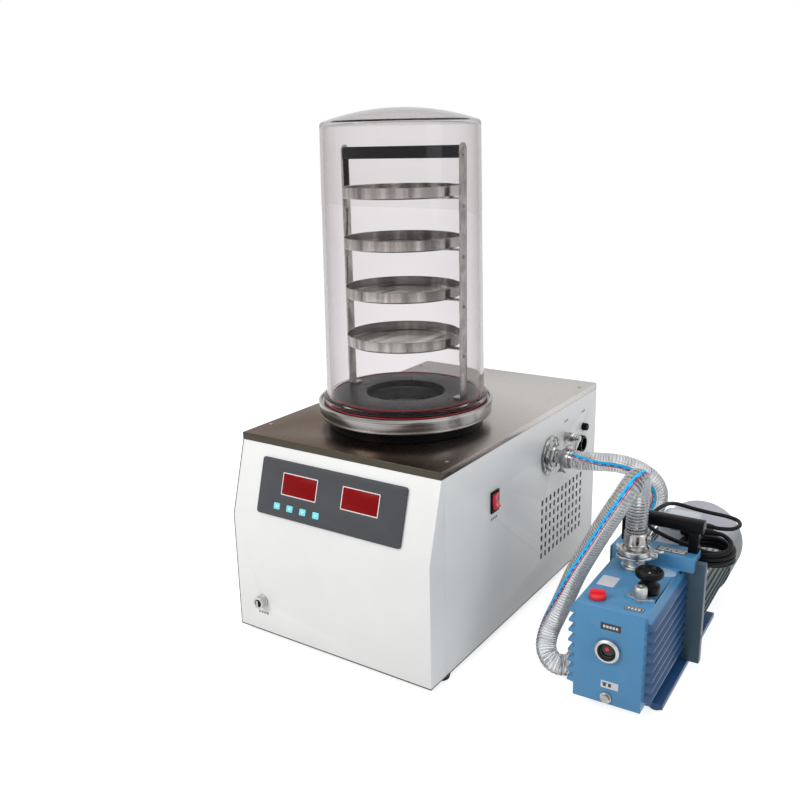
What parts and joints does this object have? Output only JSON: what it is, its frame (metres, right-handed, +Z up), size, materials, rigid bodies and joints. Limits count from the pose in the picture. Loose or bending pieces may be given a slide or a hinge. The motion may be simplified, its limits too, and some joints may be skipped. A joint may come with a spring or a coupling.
{
  "type": "freeze dryer",
  "caption": "Bench-top freeze dryer: white cabinet with sloped control panel, clear bell-jar chamber with stacked trays, joined by a hose to a blue rotary-vane vacuum pump.",
  "frame": {"origin": "middle of the underside of the cabinet, chamber and pump taken together, at bench level, without the hose and the pump's lead", "axes": "+Z up, +Y to the back of the cabinet, +X to the side where the pump stands"},
  "size_m": [0.7648, 0.6678, 0.9004],
  "materials": {
    "cabinet_paint": "satin powder coat",
    "stainless": "brushed",
    "bright_steel": "polished",
    "cast_aluminium": "turned",
    "black_plastic": "fine grain",
    "black_rubber": "matte",
    "panel_film": "satin film",
    "display_window": "gloss, tinted",
    "key_plastic": "satin",
    "red_plastic": "gloss",
    "red_silicone": "satin",
    "clear_acrylic": "polished",
    "copper_tube": "drawn",
    "pump_paint": "gloss enamel",
    "motor_paint": "satin enamel",
    "stand_paint": "satin enamel",
    "hose_pvc": "clear, wire wound"
  },
  "bodies": {
    "machine": {"base_pan": "cabinet_paint", "bell_jar": "clear_acrylic", "cabinet_shell": "cabinet_paint", "chamber_collar": "black_rubber", "chamber_ring": "cast_aluminium", "cold_trap": "stainless", "compressor": "black_plastic", "condenser": "cast_aluminium", "control_fascia": "panel_film", "display_1": "display_window", "display_2": "display_window", "drain_plug": "bright_steel", "drain_valve_body": "bright_steel", "evaporator_coil": "copper_tube", "exhaust_cap": "black_plastic", "fan_cowl": "motor_paint", "flange_clamp": "cast_aluminium", "foot_front_left": "black_rubber", "foot_front_right": "black_rubber", "foot_rear_left": "black_rubber", "foot_rear_right": "black_rubber", "front_cover": "cabinet_paint", "jar_seal": "red_silicone", "lead_coil": "black_rubber", "mains_inlet": "black_plastic", "motor_frame": "motor_paint", "oil_box": "pump_paint", "port_clamp": "bright_steel", "pump_base": "pump_paint", "pump_handle": "black_plastic", "pump_lead": "black_rubber", "pump_plug": "black_rubber", "pump_stand": "stand_paint", "rack_base": "black_plastic", "rack_top_bar": "black_plastic", "sight_glass": "bright_steel", "suction_pipe": "bright_steel", "switch_housing": "black_plastic", "terminal_box": "motor_paint", "top_plate": "stainless", "tray_1": "stainless", "tray_2": "stainless", "tray_3": "stainless", "tray_4": "stainless", "tray_rack": "stainless", "vacuum_hose": "hose_pvc", "vacuum_port": "bright_steel", "vent_valve_body": "bright_steel"},
    "key_1": {"key_1": "key_plastic"},
    "key_2": {"key_2": "key_plastic"},
    "key_3": {"key_3": "key_plastic"},
    "key_4": {"key_4": "key_plastic"},
    "rocker": {"power_rocker": "red_plastic"},
    "drain_knob": {"drain_valve_knob": "black_plastic"},
    "vent_lever": {"vent_valve_lever": "bright_steel"},
    "fuse_cap": {"fuse_cap": "black_plastic"},
    "condenser_fan": {"condenser_fan": "black_plastic"},
    "filler_cap": {"filler_cap": "red_plastic"},
    "ballast_knob": {"ballast_knob": "bright_steel"},
    "motor_fan": {"motor_fan": "black_plastic"}
  },
  "joints": [
    {"name": "key_1_press", "type": "slide", "parent": "machine", "child": "key_1", "axis": [0, 0.9602, -0.2793], "range_m": [0, 0.0008], "stiffness_N_per_m": 300, "springref_m": -0.0008},
    {"name": "key_2_press", "type": "slide", "parent": "machine", "child": "key_2", "axis": [0, 0.9602, -0.2793], "range_m": [0, 0.0008], "stiffness_N_per_m": 300, "springref_m": -0.0008},
    {"name": "key_3_press", "type": "slide", "parent": "machine", "child": "key_3", "axis": [0, 0.9602, -0.2793], "range_m": [0, 0.0008], "stiffness_N_per_m": 300, "springref_m": -0.0008},
    {"name": "key_4_press", "type": "slide", "parent": "machine", "child": "key_4", "axis": [0, 0.9602, -0.2793], "range_m": [0, 0.0008], "stiffness_N_per_m": 300, "springref_m": -0.0008},
    {"name": "rocker_tilt", "type": "hinge", "parent": "machine", "child": "rocker", "pos_m": [0.03628, -0.1081, 0.261], "axis": [0, 1, 0], "range_deg": [0, 18]},
    {"name": "drain_turn", "type": "hinge", "parent": "machine", "child": "drain_knob", "pos_m": [-0.31222, -0.3314, 0.072], "axis": [0, -1, 0], "range_deg": [0, 90]},
    {"name": "vent_turn", "type": "hinge", "parent": "machine", "child": "vent_lever", "pos_m": [0.06288, 0.1839, 0.292], "axis": [1, 0, 0], "range_deg": [0, 90]},
    {"name": "fuse_turn", "type": "hinge", "parent": "machine", "child": "fuse_cap", "pos_m": [0.03628, 0.2669, 0.29], "axis": [1, 0, 0], "range_deg": [0, 45]},
    {"name": "condenser_fan_spin", "type": "hinge", "parent": "machine", "child": "condenser_fan", "pos_m": [-0.04142, 0.1749, 0.134], "axis": [1, 0, 0], "continuous": true},
    {"name": "filler_turn", "type": "hinge", "parent": "machine", "child": "filler_cap", "pos_m": [0.25685, -0.1926, 0.181], "axis": [0, 0, 1], "range_deg": [0, 300]},
    {"name": "ballast_turn", "type": "hinge", "parent": "machine", "child": "ballast_knob", "pos_m": [0.31401, -0.16849, 0.186], "axis": [0, 0, 1], "range_deg": [0, 270]},
    {"name": "motor_fan_spin", "type": "hinge", "parent": "machine", "child": "motor_fan", "pos_m": [0.28103, 0.23958, 0.097], "axis": [-0.0366, 0.9993, 0], "continuous": true}
  ]
}
